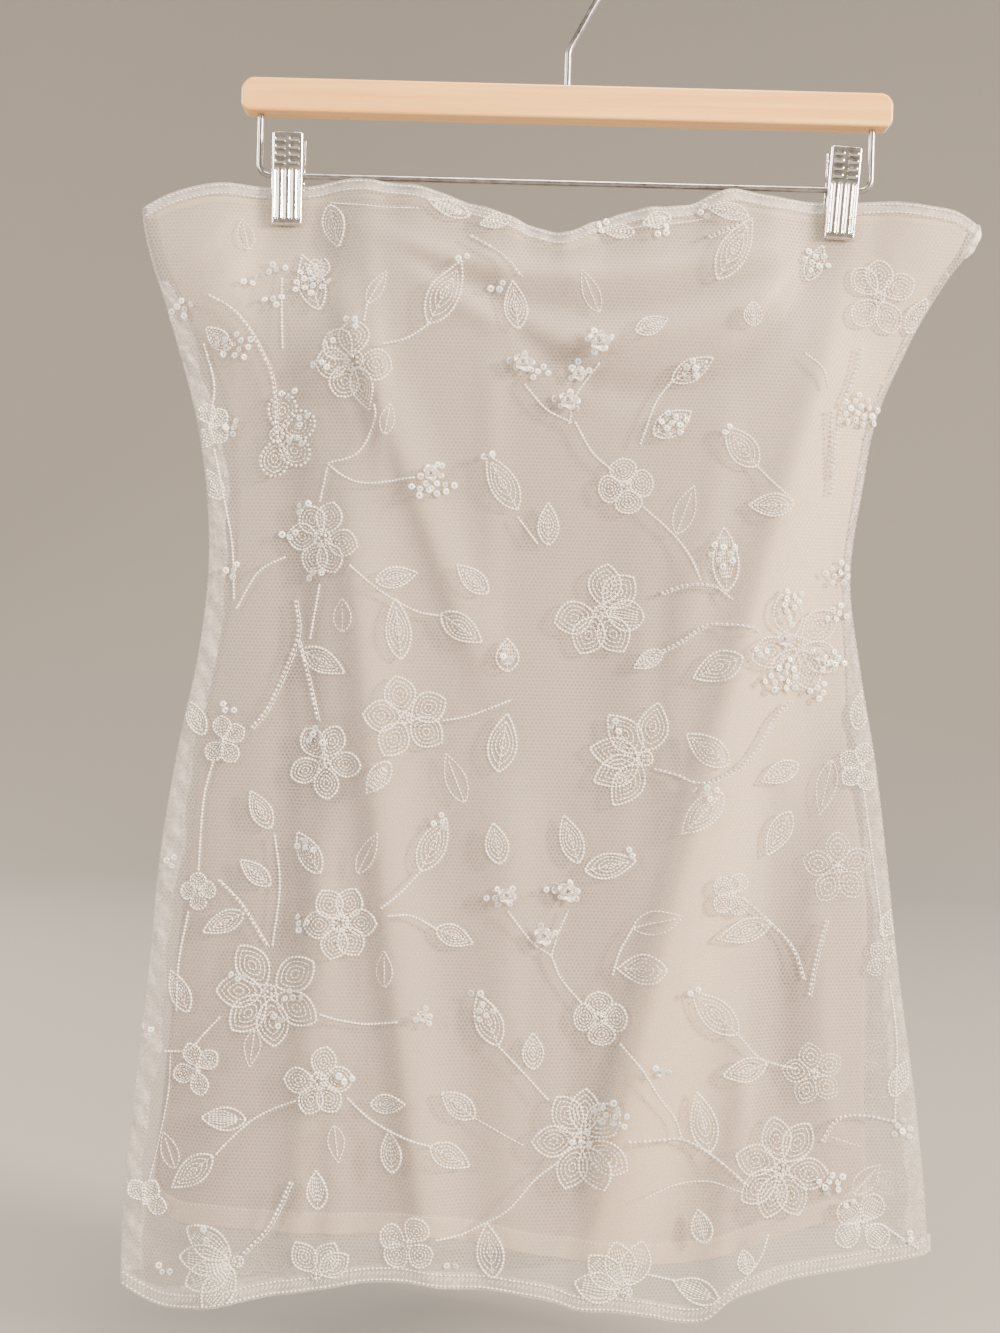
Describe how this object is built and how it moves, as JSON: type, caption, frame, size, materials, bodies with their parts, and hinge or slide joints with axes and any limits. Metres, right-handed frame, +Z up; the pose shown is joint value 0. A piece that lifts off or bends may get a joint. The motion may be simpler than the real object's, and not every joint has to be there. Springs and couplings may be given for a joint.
{
  "type": "strapless dress on a clip hanger",
  "caption": "Short strapless dress of embroidered tulle over a plain lining, hanging flat from the clips of a wooden hanger.",
  "frame": {"origin": "underside of the hook's crown, where a rail carries it, in the middle plane of the bar", "axes": "+Z up, +X to the viewer's right as the front is seen, the front of the dress faces -Y"},
  "size_m": [0.4605, 0.0579, 0.764],
  "materials": {
    "tulle": "sheer nylon tulle with shiny embroidery",
    "lining": "smooth matt jersey",
    "beech": "clear satin lacquer",
    "steel": "bright plating",
    "pad": "soft clear vinyl"
  },
  "bodies": {
    "root": {"tulle_front": "tulle", "tulle_back": "tulle", "lining_front": "lining", "lining_back": "lining", "lining_hem_front": "lining", "lining_hem_back": "lining", "hanger_bar": "beech", "hanger_hook": "steel", "clip_rail": "steel", "clip_left_front": "steel", "clip_left_back": "steel", "clip_right_front": "steel", "clip_right_back": "steel", "spring_left": "steel", "spring_right": "steel", "pad_left_front": "pad", "pad_left_back": "pad", "pad_right_front": "pad", "pad_right_back": "pad"}
  },
  "joints": []
}
